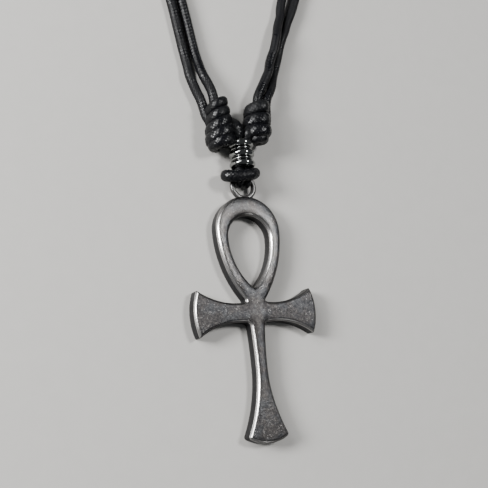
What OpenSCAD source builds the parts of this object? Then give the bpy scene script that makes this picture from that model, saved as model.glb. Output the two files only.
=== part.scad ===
// Ankh pendant on a doubled waxed cord with two sliding knots, lying on its back.
// Millimetres. The origin is the crossing of crossbar and stem on the back face,
// +Y runs to the loop and +Z is the face's normal.

/* [Ankh plate] */
// Thickness of the cast plate
plate_thick = 2.8; // [2:0.1:4]
// Width of the bevel round the face, in plan and in depth
bevel = 0.32; // [0.1:0.02:0.5]

/* [Crossbar] */
// From the crossing to the crown of each convex end
arm_reach = 12.25; // [11:0.25:13.5]
// Radius of the convex ends
arm_end_radius = 11.6; // [9:0.2:16]
// Half the height of the crossbar at its neck
arm_neck_half = 1.74; // [1.3:0.02:2.4]
// Where the arms begin to flare, out from the crossing
arm_flare_start = 3.8; // [3:0.1:5]
// Radius of the hollow flares of the arms
arm_flare_radius = 12.5; // [11:0.5:18]

/* [Stem] */
// From the crossing down to the crown of the foot
foot_drop = 23.15; // [20:0.25:27]
// Radius of the foot's convex end
foot_end_radius = 7.3; // [6:0.1:10]
// Half the width of the stem at its waist
waist_half = 1.17; // [0.9:0.01:1.6]
// From the crossing down to the waist
waist_drop = 9.9; // [8:0.1:12]
// Radius of the hollow flares from the waist to the foot
foot_flare_radius = 27; // [24:1:34]
// Radius of the gentle taper from the crossbar to the waist
stem_taper_radius = 99; // [80:1:140]

/* [Loop] */
// From the crossing up to the loop's top
loop_top = 21.8; // [20:0.2:25]
// Radius of the loop's round top, which is half the loop's width
loop_half = 6.5; // [6:0.1:7.5]
// Radius of the loop's long sides
loop_side_radius = 21; // [19:0.5:24]
// Width of the band over the opening
loop_band_top = 3.75; // [3:0.05:4.5]
// Half the width of the teardrop opening
opening_half = 4.15; // [3.6:0.05:4.6]
// Radius of the opening's long sides
opening_side_radius = 12.8; // [11:0.2:15]

/* [Eyelet] */
// Diameter of the eyelet's round wire
eyelet_wire = 1.0; // [0.8:0.05:1.2]
// Diameter of the eyelet's hole
eyelet_hole = 3.3; // [3.2:0.05:3.6]
// How deep the eyelet's wire is sunk in the loop's top edge
eyelet_sink = 0.75; // [0.4:0.05:0.9]
// Height of the eyelet's wire over the back face
eyelet_lift = 1.7; // [1.4:0.05:2.1]

/* [Rings on the cord] */
// Outer diameter of the large rings
bead_diameter = 4.9; // [4.6:0.05:5.2]
// Height of a large ring along the cord
bead_height = 1.35; // [1.1:0.05:1.6]
// Outer diameter of the thin rings between them
spacer_diameter = 4.1; // [3.9:0.05:4.4]
// Height of a thin ring along the cord
spacer_height = 0.5; // [0.4:0.05:0.7]
// Diameter of the hole through all the rings
ring_hole = 3.3; // [3.2:0.05:3.6]
// Free length between the eyelet and the lowest ring, which the stop turn fills
stop_turn_room = 0.8; // [0.7:0.05:1.2]

/* [Cord and knots] */
// Diameter of the waxed cord
cord_diameter = 1.9; // [1.7:0.05:2.1]
// Distance from turn to turn
knot_pitch = 2; // [1.95:0.05:2.3]
// Lean of each knot to its side, in degrees
knot_lean = 5.5; // [4:0.5:8]
// From the rings' axis to the lower end of the left knot
left_knot_reach = 3.95; // [3.8:0.05:4.4]
// From the rings' axis to the lower end of the right knot
right_knot_reach = 3.6; // [3.3:0.05:4]
// How far the left knot hangs down beside the highest ring
left_knot_drop = 1.64; // [1.4:0.02:1.8]

/* [Clearances] */
// Gap between neighbouring rings
ring_gap = 0.06; // [0.04:0.01:0.1]
// Gap between a cord and what it passes through or lies beside
cord_gap = 0.1; // [0.06:0.01:0.15]

/* [Hidden] */
$fn = 96;

metal = [0.36, 0.36, 0.37];
chrome = [0.55, 0.56, 0.58];
black_cord = [0.07, 0.07, 0.08];

// Past a face, so that a cut goes right through
over = 1;

cord_radius = cord_diameter / 2;
face_drop = plate_thick - bevel;

arm_end_x = arm_reach - arm_end_radius;
arm_flare_y = arm_neck_half + arm_flare_radius;
foot_end_y = foot_end_radius - foot_drop;
loop_y = loop_top - loop_half;
opening_y = loop_top - loop_band_top - opening_half;

eyelet_radius = (eyelet_hole + eyelet_wire) / 2;
eyelet_y = loop_top - eyelet_sink + eyelet_radius + eyelet_wire / 2;
eyelet_top = eyelet_y + eyelet_radius + eyelet_wire / 2;

stack_y = eyelet_top + stop_turn_room;
stack_step = bead_height + spacer_height + 2 * ring_gap;
stack_top = stack_y + 2 * stack_step + bead_height;
stack_z = bead_diameter / 2;

// The wraps lie round one strand, so a knot is three cords across
wrap_radius = cord_diameter;
knot_z = 1.5 * cord_diameter;
knot_core_radius = wrap_radius + cord_radius / 3;
knot_bore_radius = cord_radius + cord_gap;
knot_up = [sin(knot_lean), cos(knot_lean), 0];
knot_out = [cos(knot_lean), -sin(knot_lean), 0];
// A knot's bore is closed below by its lowest turn
bore_start = knot_pitch;
core_start = bore_start + cord_gap;
// The strand in the bore runs straight on past the knot before it bends
knot_run_out = 1.4;

// The turns of each knot from the lowest up, as shares of the cord's diameter:
// shift outwards, sink towards the back, growth of the turn's radius
left_turns = [
    [0.38, 0.24, -0.42],
    [-0.08, 0, 0],
    [-0.06, 0, -0.04],
    [0.04, 0, -0.03],
    [0.09, 0, -0.03]];
right_turns = [
    [-0.10, 0, -0.03],
    [0.05, 0, 0],
    [0.05, 0, 0],
    [0, 0, -0.03]];
// Side, lower end and turns of each knot
left_shape = [-1, [left_knot_reach, stack_top - left_knot_drop, knot_z], left_turns];
right_shape = [1, [right_knot_reach, stack_top, knot_z], right_turns];

tube_sides = 8;

// Each pendant strand, drawn for the right side: x, y, z, half width, half thickness.
// It comes out from between the turns of the knot, runs down through the rings and
// over the eyelet, dives through its hole and lies flat behind it.
strand_rows = [
    [1.30, 35.3, 4.45, 0.70, 0.70],
    [1.00, 34.5, 4.15, 0.72, 0.74],
    [0.84, 33.5, 3.25, 0.74, 0.74],
    [0.79, 32.5, 2.55, 0.74, 0.74],
    [0.79, 31.0, 2.45, 0.74, 0.74],
    [0.79, 28.5, 2.45, 0.74, 0.74],
    [0.79, 27.0, 2.60, 0.74, 0.72],
    [0.77, 26.0, 3.02, 0.72, 0.70],
    [0.75, 25.0, 2.80, 0.71, 0.70],
    [0.73, 24.3, 2.20, 0.70, 0.68],
    [0.73, 24.1, 1.60, 0.68, 0.66],
    [0.73, 24.3, 0.98, 0.70, 0.60],
    [0.75, 24.9, 0.58, 0.74, 0.50],
    [0.76, 25.7, 0.53, 0.78, 0.50],
    [0.76, 26.5, 0.53, 0.78, 0.50]];

// The stop turn round both strands, from its front round the right side:
// x, y, z, half height, half thickness
turn_rows = [
    [-0.45, 25.15, 4.50, 0.95, 0.95],
    [0.75, 25.35, 4.30, 0.95, 0.95],
    [1.80, 25.85, 3.60, 0.92, 0.92],
    [2.25, 26.20, 2.70, 0.90, 0.90],
    [2.25, 26.40, 1.70, 0.66, 0.72],
    [1.30, 26.45, 0.80, 0.58, 0.60],
    [-0.45, 26.45, 0.55, 0.58, 0.52],
    [-2.00, 26.20, 0.85, 0.72, 0.72],
    [-2.95, 25.85, 1.75, 0.90, 0.92],
    [-3.15, 25.60, 2.70, 0.95, 0.95],
    [-2.70, 25.35, 3.60, 0.95, 0.95],
    [-1.65, 25.15, 4.30, 0.95, 0.95]];

// The middle of the pair of neck strands, from the right knot round the neck to the left
// one: x, y, z of the outer strand, half the distance between the two strands in plan, and
// how far the inner strand lies over the outer, onto which it leans beside the right knot
neck_rows = [
    [7.15, 44.4, 2.20, 1.00, 0.50],
    [8.50, 47.35, 1.25, 0.84, 1.40],
    [9.30, 49.6, 1.02, 0.95, 1.30],
    [10.25, 51.9, 0.96, 0.82, 1.48],
    [11.36, 55.3, 0.96, 0.85, 1.40],
    [12.33, 57.7, 0.96, 1.02, 0.85],
    [13.31, 60.1, 0.96, 1.00, 0.50],
    [15.12, 64.9, 0.96, 1.40, 0.05],
    [22.5, 83.5, 0.96, 1.20, 0],
    [33, 106, 0.96, 1.02, 0],
    [45.5, 130, 0.96, 1.02, 0],
    [57, 155, 0.96, 1.05, 0],
    [60, 182, 0.96, 1.10, 0],
    [47, 207, 0.96, 1.05, 0],
    [22, 221, 0.96, 1.02, 0],
    [-8, 219, 0.96, 1.05, 0],
    [-31, 202, 0.96, 1.10, 0],
    [-39.5, 175, 0.96, 1.05, 0],
    [-35, 145, 0.96, 1.02, 0],
    [-24.5, 113, 0.96, 1.02, 0],
    [-14.5, 82.5, 0.96, 1.05, 0],
    [-10.15, 62, 0.96, 1.12, 0],
    [-9.25, 57, 0.96, 1.14, 0],
    [-8.37, 51.3, 0.97, 1.12, 0.10],
    [-7.85, 48, 1.00, 1.05, 0.65],
    [-7.58, 45.3, 1.35, 1.04, 1.25]];

function unit(v) = v / norm(v);
function place(row) = [row[0], row[1], row[2]];
function mirrored(row, side) = [side * row[0], row[1], row[2], row[3], row[4]];

// A smooth curve through the rows, with a number of steps from row to row
function blend(a, b, c, d, t) =
    (2 * b + (c - a) * t + (2 * a - 5 * b + 4 * c - d) * t * t
    + (3 * b - a - 3 * c + d) * t * t * t) / 2;
function smooth_open(rows, steps) = let(last = len(rows) - 1) [
    for (i = [0:last - 1], k = [0:steps - 1])
        blend(rows[max(i - 1, 0)], rows[i], rows[i + 1], rows[min(i + 2, last)], k / steps),
    rows[last]];
function smooth_closed(rows, steps) = let(count = len(rows)) [
    for (i = [0:count - 1], k = [0:steps - 1])
        blend(rows[(i + count - 1) % count], rows[i], rows[(i + 1) % count],
            rows[(i + 2) % count], k / steps)];

// One ring of a tube round a centre: its first half size lies along the hint
function ring(row, heading, hint) =
    let(u = unit(hint - (hint * heading) * heading), v = cross(heading, u))
    [for (k = [0:tube_sides - 1]) let(a = 360 * k / tube_sides)
        place(row) + row[3] * cos(a) * u + row[4] * sin(a) * v];
function side_faces(rings, links) = [
    for (i = [0:links - 1], k = [0:tube_sides - 1])
        let(a = i * tube_sides, b = ((i + 1) % rings) * tube_sides, m = (k + 1) % tube_sides)
        [a + k, b + k, b + m, a + m]];

module open_tube(rows, hint) {
    count = len(rows);
    rings = [for (i = [0:count - 1]) ring(rows[i],
        unit(place(rows[min(i + 1, count - 1)]) - place(rows[max(i - 1, 0)])), hint)];
    polyhedron([for (r = rings, p = r) p], concat(side_faces(count, count - 1), [
        [for (k = [0:tube_sides - 1]) k],
        [for (k = [tube_sides - 1:-1:0]) (count - 1) * tube_sides + k]]));
}

module closed_tube(rows, hint) {
    count = len(rows);
    rings = [for (i = [0:count - 1]) ring(rows[i],
        unit(place(rows[(i + 1) % count]) - place(rows[(i + count - 1) % count])), hint)];
    polyhedron([for (r = rings, p = r) p], side_faces(count, count));
}

// Part of the plate bounded by one arc, with the bevel along its face edge
module plate_disc(x, y, radius) {
    translate([x, y, 0]) {
        cylinder(h = face_drop, r = radius);
        translate([0, 0, face_drop]) cylinder(h = bevel, r1 = radius, r2 = radius - bevel);
    }
}

// A hollow arc cut from the plate, with the bevel along its face edge
module hollow_disc(x, y, radius) {
    translate([x, y, 0]) {
        translate([0, 0, -over]) cylinder(h = face_drop + over, r = radius);
        translate([0, 0, face_drop])
            cylinder(h = bevel + over, r1 = radius, r2 = radius + bevel + over);
    }
}

module block(x, y0, y1, z0, z1) {
    translate([-x, y0, z0]) cube([2 * x, y1 - y0, z1 - z0]);
}

module arm() {
    difference() {
        intersection() {
            translate([0, -arm_end_radius, 0])
                cube([arm_reach, 2 * arm_end_radius, plate_thick]);
            plate_disc(arm_end_x, 0, arm_end_radius);
        }
        for (side = [1, -1]) hollow_disc(arm_flare_start, side * arm_flare_y, arm_flare_radius);
    }
}

module upper_stem() {
    difference() {
        block(loop_half / 2, -waist_drop, 0, 0, plate_thick);
        for (side = [1, -1])
            hollow_disc(side * (waist_half + stem_taper_radius), -waist_drop, stem_taper_radius);
    }
}

module foot() {
    difference() {
        intersection() {
            block(foot_end_radius, -foot_drop, -waist_drop, 0, plate_thick);
            plate_disc(0, foot_end_y, foot_end_radius);
        }
        for (side = [1, -1])
            hollow_disc(side * (waist_half + foot_flare_radius), -waist_drop, foot_flare_radius);
    }
}

module loop_body() {
    plate_disc(0, loop_y, loop_half);
    intersection() {
        block(loop_half, 0, loop_y, 0, plate_thick);
        plate_disc(loop_half - loop_side_radius, loop_y, loop_side_radius);
        plate_disc(loop_side_radius - loop_half, loop_y, loop_side_radius);
    }
}

module teardrop_opening() {
    hollow_disc(0, opening_y, opening_half);
    intersection() {
        block(loop_half, 0, opening_y, -over, plate_thick + over);
        hollow_disc(opening_half - opening_side_radius, opening_y, opening_side_radius);
        hollow_disc(opening_side_radius - opening_half, opening_y, opening_side_radius);
    }
}

// The cast ankh with its eyelet, one piece of metal
module ankh() {
    color(metal) {
        difference() {
            union() {
                arm();
                mirror([1, 0, 0]) arm();
                upper_stem();
                foot();
                loop_body();
            }
            teardrop_opening();
        }
        translate([0, eyelet_y, eyelet_lift]) torus(eyelet_radius, eyelet_wire / 2);
    }
}

module torus(radius, wire_radius) {
    rotate_extrude() translate([radius, 0]) circle(r = wire_radius);
}

// A ring on the cord with a rounded rim, from its lower end up along +Y
module cord_ring(y, diameter, height) {
    rim = height / 2;
    hole = ring_hole / 2;
    color(chrome)
        translate([0, y + rim, stack_z]) rotate([-90, 0, 0]) rotate_extrude() intersection() {
            translate([hole, -rim]) square([diameter / 2, height]);
            union() {
                translate([hole, -rim]) square([diameter / 2 - rim - hole, height]);
                translate([diameter / 2 - rim, 0]) circle(r = rim, $fn = 48);
            }
        }
}

module bead_ring(level) {
    cord_ring(stack_y + level * stack_step, bead_diameter, bead_height);
}

module spacer_ring(level) {
    cord_ring(stack_y + level * stack_step + bead_height + ring_gap,
        spacer_diameter, spacer_height);
}

// The two strands that carry the pendant and the stop turn round them
module pendant_cord() {
    color(black_cord) {
        for (side = [1, -1])
            open_tube(smooth_open([for (row = strand_rows) mirrored(row, side)], 2), [1, 0, 0]);
        closed_tube(smooth_closed(turn_rows, 2), [0, 1, 0]);
    }
}

// The groove in a knot where the pendant strand comes out between its turns
module strand_groove(side) {
    for (i = [0:2]) {
        a = place(mirrored(strand_rows[i], side));
        b = place(mirrored(strand_rows[i + 1], side));
        run = b - a;
        groove = strand_rows[i][3] + 1.5 * cord_gap;
        translate(a) {
            sphere(r = groove, $fn = 48);
            rotate([0, acos(run[2] / norm(run)), atan2(run[1], run[0])])
                cylinder(h = norm(run), r = groove, $fn = 48);
        }
    }
}

function knot_length(shape) = len(shape[2]) * knot_pitch;

// One turn of a knot, in the knot's own frame with its axis upright
module knot_turn(side, level, turn) {
    radius = wrap_radius + turn[2] * cord_diameter;
    translate([side * turn[0] * cord_diameter, turn[1] * cord_diameter, (level + 0.5) * knot_pitch]) {
        torus(radius, cord_radius);
        translate([0, 0, -cord_radius / 2]) cylinder(h = cord_radius, r = radius);
    }
}

// A sliding knot: turns of the cord round the strand that it slides on
module sliding_knot(shape) {
    side = shape[0];
    foot = shape[1];
    turns = shape[2];
    color(black_cord)
        difference() {
            translate([side * foot[0], foot[1], foot[2]])
                rotate([0, 0, -side * knot_lean]) rotate([-90, 0, 0]) difference() {
                    union() {
                        for (i = [0:len(turns) - 1]) knot_turn(side, i, turns[i]);
                        translate([0, 0, knot_pitch / 2])
                            cylinder(h = knot_pitch, r = 1.5 * cord_radius);
                        translate([0, 0, bore_start - cord_gap])
                            cylinder(h = knot_length(shape) - 1.5 * knot_pitch, r = cord_diameter);
                        translate([0, 0, 1.5 * knot_pitch])
                            cylinder(h = knot_length(shape) - 2 * knot_pitch, r = knot_core_radius);
                    }
                    translate([0, 0, bore_start])
                        cylinder(h = knot_length(shape), r = knot_bore_radius);
                }
            strand_groove(side);
        }
}

// The rows of one neck strand: offset is 1 for the outer strand and -1 for the inner
function neck_strand_rows(offset) = let(last = len(neck_rows) - 1) [
    for (i = [0:last])
        let(run = place(neck_rows[min(i + 1, last)]) - place(neck_rows[max(i - 1, 0)]),
            out = unit([run[1], -run[0], 0]), lift = offset < 0 ? neck_rows[i][4] : 0)
        concat(place(neck_rows[i]) + offset * neck_rows[i][3] * out + [0, 0, lift],
            [cord_radius, cord_radius])];

// A point of the cord beside a knot: its height along the knot and its distance out
function knot_row(shape, up, out) = let(p = shape[1] + up * knot_up + out * knot_out)
    [shape[0] * p[0], p[1], p[2], cord_radius, cord_radius];

// The strand that runs through both knots and round the neck
module neck_strand_inner() {
    color(black_cord)
        open_tube(concat(
            [knot_row(right_shape, core_start, 0),
                knot_row(right_shape, knot_length(right_shape) + knot_run_out, 0)],
            smooth_open(neck_strand_rows(-1), 2),
            [knot_row(left_shape, knot_length(left_shape) + knot_run_out, 0),
                knot_row(left_shape, core_start, 0)]), [0, 0, 1]);
}

// The strand beside it, which ends where it turns into the wraps of the knots
module neck_strand_outer() {
    out = wrap_radius + cord_gap;
    start = cord_radius + cord_gap - knot_pitch / 2;
    straight = start + cord_radius / 2;
    color(black_cord)
        open_tube(concat(
            [for (up = [start, straight]) knot_row(right_shape, knot_length(right_shape) + up, out)],
            smooth_open(neck_strand_rows(1), 2),
            [for (up = [straight, start]) knot_row(left_shape, knot_length(left_shape) + up, out)]),
            [0, 0, 1]);
}

ankh();
bead_ring(0);  // bead_ring_bottom
bead_ring(1);  // bead_ring_middle
bead_ring(2);  // bead_ring_top
spacer_ring(0);  // spacer_ring_lower
spacer_ring(1);  // spacer_ring_upper
pendant_cord();
sliding_knot(left_shape);  // left_knot
sliding_knot(right_shape);  // right_knot
neck_strand_inner();
neck_strand_outer();
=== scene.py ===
"""Looks of an ankh pendant on a doubled waxed cord with two sliding knots, lying on its back."""

import math

import bmesh
import bpy
import numpy as np
from bpy.props import FloatProperty, FloatVectorProperty, IntProperty, PointerProperty
from mathutils import Matrix, Vector
from mathutils.kdtree import KDTree


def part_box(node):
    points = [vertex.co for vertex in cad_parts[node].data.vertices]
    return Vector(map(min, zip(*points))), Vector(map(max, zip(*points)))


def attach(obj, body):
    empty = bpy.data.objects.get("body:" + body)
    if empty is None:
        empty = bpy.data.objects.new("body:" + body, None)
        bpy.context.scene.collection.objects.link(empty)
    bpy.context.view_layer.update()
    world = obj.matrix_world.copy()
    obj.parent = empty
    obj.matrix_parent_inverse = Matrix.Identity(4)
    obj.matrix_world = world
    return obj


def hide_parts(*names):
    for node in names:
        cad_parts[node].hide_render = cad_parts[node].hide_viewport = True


bl_info = {
    "name": "Ankh pendant",
    "version": (1, 0, 0),
    "blender": (4, 5, 0),
    "location": "3D View > Sidebar > Pendant",
    "description": "Models an antiqued ankh on a waxed cord with metal rings and sliding knots",
    "category": "Add Mesh",
}

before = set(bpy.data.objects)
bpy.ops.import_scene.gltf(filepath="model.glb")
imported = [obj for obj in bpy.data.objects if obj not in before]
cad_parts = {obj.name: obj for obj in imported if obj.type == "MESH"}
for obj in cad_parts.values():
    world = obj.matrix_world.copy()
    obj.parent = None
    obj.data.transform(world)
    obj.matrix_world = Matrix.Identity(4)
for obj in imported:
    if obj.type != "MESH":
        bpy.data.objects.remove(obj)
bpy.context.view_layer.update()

MM = 0.001
WELD = 1e-6

# The route of the pair of neck strands: x, y, z of the outer strand, half the distance
# between the two in plan, and how far the inner strand lies over the outer
NECK_ROWS = (
    (7.15, 44.4, 2.20, 1.00, 0.50), (8.50, 47.35, 1.25, 0.84, 1.40), (9.30, 49.6, 1.02, 0.95, 1.30),
    (10.25, 51.9, 0.96, 0.82, 1.48), (11.36, 55.3, 0.96, 0.85, 1.40), (12.33, 57.7, 0.96, 1.02, 0.85),
    (13.31, 60.1, 0.96, 1.00, 0.50), (15.12, 64.9, 0.96, 1.40, 0.05), (22.5, 83.5, 0.96, 1.20, 0),
    (33, 106, 0.96, 1.02, 0), (45.5, 130, 0.96, 1.02, 0), (57, 155, 0.96, 1.05, 0),
    (60, 182, 0.96, 1.10, 0), (47, 207, 0.96, 1.05, 0), (22, 221, 0.96, 1.02, 0),
    (-8, 219, 0.96, 1.05, 0), (-31, 202, 0.96, 1.10, 0), (-39.5, 175, 0.96, 1.05, 0),
    (-35, 145, 0.96, 1.02, 0), (-24.5, 113, 0.96, 1.02, 0), (-14.5, 82.5, 0.96, 1.05, 0),
    (-10.15, 62, 0.96, 1.12, 0), (-9.25, 57, 0.96, 1.14, 0), (-8.37, 51.3, 0.97, 1.12, 0.10),
    (-7.85, 48, 1.00, 1.05, 0.65), (-7.58, 45.3, 1.35, 1.04, 1.25))
# How the outer strand lies beside each knot, from its tip under the wraps upwards
BESIDE_ROWS = {
    "left_knot": ((-5.30, 35.7, 2.10), (-6.05, 37.0, 1.70), (-6.45, 38.8, 1.50), (-6.85, 40.6, 1.42),
                  (-7.65, 42.6, 1.30)),
    "right_knot": ((4.30, 33.6, 2.70), (5.25, 34.8, 2.70), (5.90, 36.7, 2.72), (6.10, 39.1, 2.78),
                   (6.28, 41.1, 2.80))}
# The pendant strand from the top ring to behind the eyelet: x, y, z, half width, half thickness
STRAND_ROWS = (
    (0.79, 31.0, 2.45, 0.77, 0.86), (0.79, 28.5, 2.45, 0.77, 0.86),
    (0.79, 27.0, 2.60, 0.76, 0.84), (0.77, 26.0, 3.02, 0.75, 0.78), (0.75, 25.0, 2.80, 0.74, 0.74),
    (0.73, 24.3, 2.20, 0.72, 0.70), (0.73, 24.1, 1.60, 0.70, 0.68), (0.73, 24.3, 0.98, 0.70, 0.62),
    (0.75, 24.9, 0.58, 0.74, 0.52), (0.76, 25.7, 0.53, 0.78, 0.50), (0.76, 26.5, 0.53, 0.78, 0.50))
# How the right and the left strand run from their knots down to the top ring
RISE_ROWS = {
    1: ((2.35, 35.6, 2.70, 0.90, 0.90), (1.95, 34.8, 3.35, 1.00, 0.98), (1.35, 33.8, 3.60, 1.06, 1.00),
        (0.98, 32.8, 3.10, 1.00, 0.98), (0.82, 31.9, 2.60, 0.84, 0.90)),
    -1: ((-2.60, 36.7, 2.00, 0.90, 0.90), (-1.85, 36.0, 2.80, 1.20, 1.10), (-1.32, 35.0, 3.35, 1.50, 1.30),
         (-1.05, 33.7, 3.35, 1.55, 1.30), (-0.90, 32.5, 2.90, 1.15, 1.10), (-0.80, 31.8, 2.55, 0.84, 0.90))}
# The stop turn round both strands: x, y, z, half height, half thickness
TURN_ROWS = (
    (-0.45, 25.20, 4.45, 1.10, 1.00), (0.80, 25.42, 4.25, 1.10, 1.00),
    (1.85, 25.92, 3.60, 1.05, 0.95), (2.30, 26.25, 2.70, 1.00, 0.92),
    (2.25, 26.40, 1.70, 0.72, 0.74), (1.30, 26.45, 0.80, 0.58, 0.60),
    (-0.45, 26.45, 0.58, 0.58, 0.54), (-2.00, 26.20, 0.90, 0.76, 0.74),
    (-3.20, 25.75, 1.75, 1.00, 1.00), (-3.70, 25.50, 2.70, 1.16, 1.08),
    (-3.15, 25.22, 3.60, 1.18, 1.08), (-1.80, 25.05, 4.30, 1.14, 1.04))

KNOT_LEAN = math.radians(5.5)
KNOT_PITCH = 2.0
# Side, lower end of the axis and height of each knot
KNOTS = {
    "left_knot": (-1, (-3.95, 30.80, 2.85), 10.0),
    "right_knot": (1, (3.60, 32.44, 2.85), 8.0)}
# Wraps of each knot from the lowest up: height on the axis, shift outwards and backwards, reach on
# the outer and on the inner side, half width and half thickness of the pressed cord, slant in radians
WRAPS = {
    "left_knot": (
        (0.95, 0.10, 0.15, 1.60, 1.85, 1.18, 1.10, 0.06), (2.62, 0.05, 0.00, 2.05, 2.05, 1.26, 1.00, 0.26),
        (4.45, 0.00, 0.00, 1.65, 1.90, 1.16, 0.94, 0.28), (6.35, 0.00, 0.00, 1.25, 1.85, 1.04, 0.90, 0.24),
        (8.20, 0.00, 0.00, 1.05, 1.75, 1.00, 0.90, 0.20)),
    "right_knot": (
        (0.50, -0.10, -0.10, 0.95, 0.95, 1.05, 1.00, 0.00), (1.75, 0.00, 0.00, 1.60, 2.30, 1.30, 0.98, 0.00),
        (4.05, 0.00, 0.00, 1.45, 2.05, 1.30, 0.95, 0.02), (6.60, 0.00, 0.00, 1.15, 1.85, 1.28, 0.92, 0.05))}
WRAP_PRESS = 0.8
FLOOR_GAP = 0.03
# Points to each turn of the wraps, to their whole line and to the line of a neck strand
TURN_POINTS, WRAP_POINTS, NECK_POINTS = 60, 200, 260
# Rise of the wraps before the first turn as a share of the pitch, the share of a turn in which an end
# is tucked in, how far it goes inwards as a share of its reach, and how much deeper than wide wraps are
FIRST_RISE, TUCK_TURN, TUCK_SHARE, DEPTH_EXTRA = 0.3, 0.25, 0.6, 0.1
# How far the inner strand's tip lies over the lowest turn, and how far the strand rises out of the knot
TIP_GAP, CORE_RISE = 0.1, 1.4

# Cells of the braid round the cord, and tube sides and rings for each cell
CARRIERS = 8
CELL_STEPS = 4
TUBE_SIDES = CARRIERS * CELL_STEPS
# Points round a ring's rim, the lip at its hole and how far the middle of the lip is cut back
RIM_POINTS, RING_LIP, LIP_CUT = 25, 0.05, 0.3
# Largest angle that is shaded smooth
RING_ANGLE, ANKH_ANGLE = math.radians(35), math.radians(50)


class CordSizes(bpy.types.PropertyGroup):
    diameter: FloatProperty(name="Cord diameter", description="Diameter of the waxed cord",
                            default=0.0019, min=0.001, max=0.003, precision=5, unit="LENGTH")
    braid_pitch: FloatProperty(name="Braid pitch", description="Length in which a carrier goes once round",
                               default=0.0052, min=0.003, max=0.01, precision=5, unit="LENGTH")
    relief: FloatProperty(name="Braid relief", description="Depth of the braid as a share of the radius",
                          default=0.09, min=0, max=0.3, subtype="FACTOR")


class RingSizes(bpy.types.PropertyGroup):
    hole: FloatProperty(name="Ring hole", description="Diameter of the hole through the rings",
                        default=0.0033, min=0.002, max=0.005, precision=5, unit="LENGTH")
    sides: IntProperty(name="Ring sides", description="Faces round each ring", default=128, min=32, max=256)


class AnkhSizes(bpy.types.PropertyGroup):
    crown: FloatProperty(name="Crown", description="How far the face of the loop and stem falls to its edges",
                         default=0.0003, min=0, max=0.0006, precision=5, unit="LENGTH")
    wire: FloatProperty(name="Eyelet wire", description="Diameter of the eyelet's wire",
                        default=0.001, min=0.0008, max=0.0014, precision=5, unit="LENGTH")


class Finishes(bpy.types.PropertyGroup):
    # The dark antiquing colour, which also colours the painted shade band on the edges
    patina: FloatVectorProperty(name="Patina", description="Colour of the dark antiquing",
                                default=(0.018, 0.018, 0.020), size=3, min=0, max=1, subtype="COLOR")
    pewter: FloatVectorProperty(name="Pewter", description="Colour of the rubbed face",
                                default=(0.094, 0.087, 0.082), size=3, min=0, max=1, subtype="COLOR")
    cool_pewter: FloatVectorProperty(name="Cool pewter", description="Colour of the bluish patches",
                                     default=(0.073, 0.074, 0.076), size=3, min=0, max=1, subtype="COLOR")
    # Colour of the polished edges and of the painted highlights, sheen and glints on the metal
    bright: FloatVectorProperty(name="Bright edge", description="Colour of the polished edges",
                                default=(0.72, 0.70, 0.68), size=3, min=0, max=1, subtype="COLOR")
    chrome: FloatVectorProperty(name="Dark chrome", description="Colour of the rings",
                                default=(0.27, 0.275, 0.27), size=3, min=0, max=1, subtype="COLOR")
    cord: FloatVectorProperty(name="Cord", description="Colour of the waxed cord",
                              default=(0.0028, 0.0029, 0.0038), size=3, min=0, max=1, subtype="COLOR")
    floor: FloatVectorProperty(name="Floor", description="Colour of the plain pale floor",
                               default=(0.46, 0.45, 0.43), size=3, min=0, max=1, subtype="COLOR")


class StageSettings(bpy.types.PropertyGroup):
    side_light: FloatProperty(name="Side light", description="Power of the low softbox on the left",
                              default=3.6, min=0, subtype="POWER")
    top_light: FloatProperty(name="Top light", description="Power of the softbox overhead",
                             default=2.7, min=0, subtype="POWER")
    fill_light: FloatProperty(name="Fill light", description="Power of the wide softbox above on the left",
                              default=1.8, min=0, subtype="POWER")
    front_light: FloatProperty(name="Front light", description="Power of the low softbox at the foot",
                               default=0.22, min=0, subtype="POWER")
    surround: FloatProperty(name="Surround", description="Strength of the even light all round",
                            default=0.12, min=0, max=2)


def deselect():
    bpy.ops.object.select_all(action="DESELECT")


def activate(obj):
    deselect()
    obj.select_set(True)
    bpy.context.view_layer.objects.active = obj


def coords(mesh):
    flat = np.empty(len(mesh.vertices) * 3, np.float32)
    mesh.vertices.foreach_get("co", flat)
    return flat.reshape(-1, 3).astype(float)


def lattice(name, points):
    """A grid primitive whose rows and columns of vertices are moved to points, in millimetres."""
    rows, cols = points.shape[:2]
    deselect()
    bpy.ops.mesh.primitive_grid_add(x_subdivisions=cols - 1, y_subdivisions=rows - 1, size=1)
    obj = bpy.context.object
    obj.name = obj.data.name = name
    at = coords(obj.data)
    col = np.rint((at[:, 0] + 0.5) * (cols - 1)).astype(int)
    row = np.rint((at[:, 1] + 0.5) * (rows - 1)).astype(int)
    obj.data.vertices.foreach_set("co", (points[row, col] * MM).astype(np.float32).ravel())
    obj.data.update()
    return obj


def weld(obj):
    """Closes the seams and poles of a lattice and turns its faces outwards."""
    activate(obj)
    bpy.ops.object.mode_set(mode="EDIT")
    bpy.ops.mesh.select_all(action="SELECT")
    bpy.ops.mesh.remove_doubles(threshold=WELD)
    bpy.ops.mesh.normals_make_consistent(inside=False)
    bpy.ops.mesh.select_all(action="DESELECT")
    bpy.ops.object.mode_set(mode="OBJECT")


def join(objs, name):
    deselect()
    for obj in objs:
        obj.select_set(True)
    bpy.context.view_layer.objects.active = objs[0]
    bpy.ops.object.join()
    objs[0].name = objs[0].data.name = name
    return objs[0]


def finish_piece(obj, material, slot, *nodes):
    obj.data.materials.clear()
    obj.data.materials.append(material)
    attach(obj, "root")
    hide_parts(*nodes)


def unit(v):
    return v / np.linalg.norm(v, axis=-1, keepdims=True)


def ramp(value, start, width):
    """0 up to start and 1 from a width further on; a width below zero runs the other way."""
    return np.clip((value - start) / width, 0, 1)


def band(value, middle, width):
    """1 at the middle, fading softly to both sides."""
    return np.exp(-((value - middle) / width) ** 2)


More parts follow.
